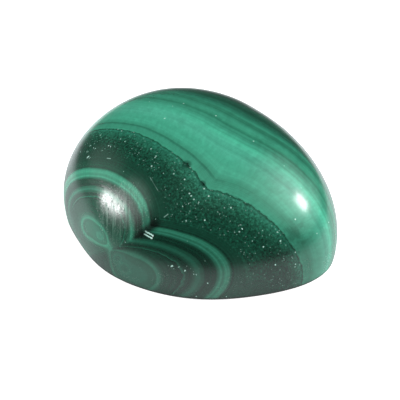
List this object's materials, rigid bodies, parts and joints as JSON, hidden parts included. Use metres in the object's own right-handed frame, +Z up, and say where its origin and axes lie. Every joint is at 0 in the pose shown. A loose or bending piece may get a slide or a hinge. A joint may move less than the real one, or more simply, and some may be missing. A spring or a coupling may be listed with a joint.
{
  "type": "malachite gemstone",
  "caption": "Polished oval malachite cabochon with a high dome and a flat base, banded in light and dark green.",
  "frame": {"origin": "bottom centre of the stone's bounding box, on the plane that it rests on", "axes": "+X along the stone's length, +Y across its width, +Z up through the dome"},
  "size_m": [0.0298, 0.0224, 0.0126],
  "materials": {
    "polished_malachite": "polished"
  },
  "bodies": {
    "root": {"malachite_stone": "polished_malachite"}
  },
  "joints": []
}
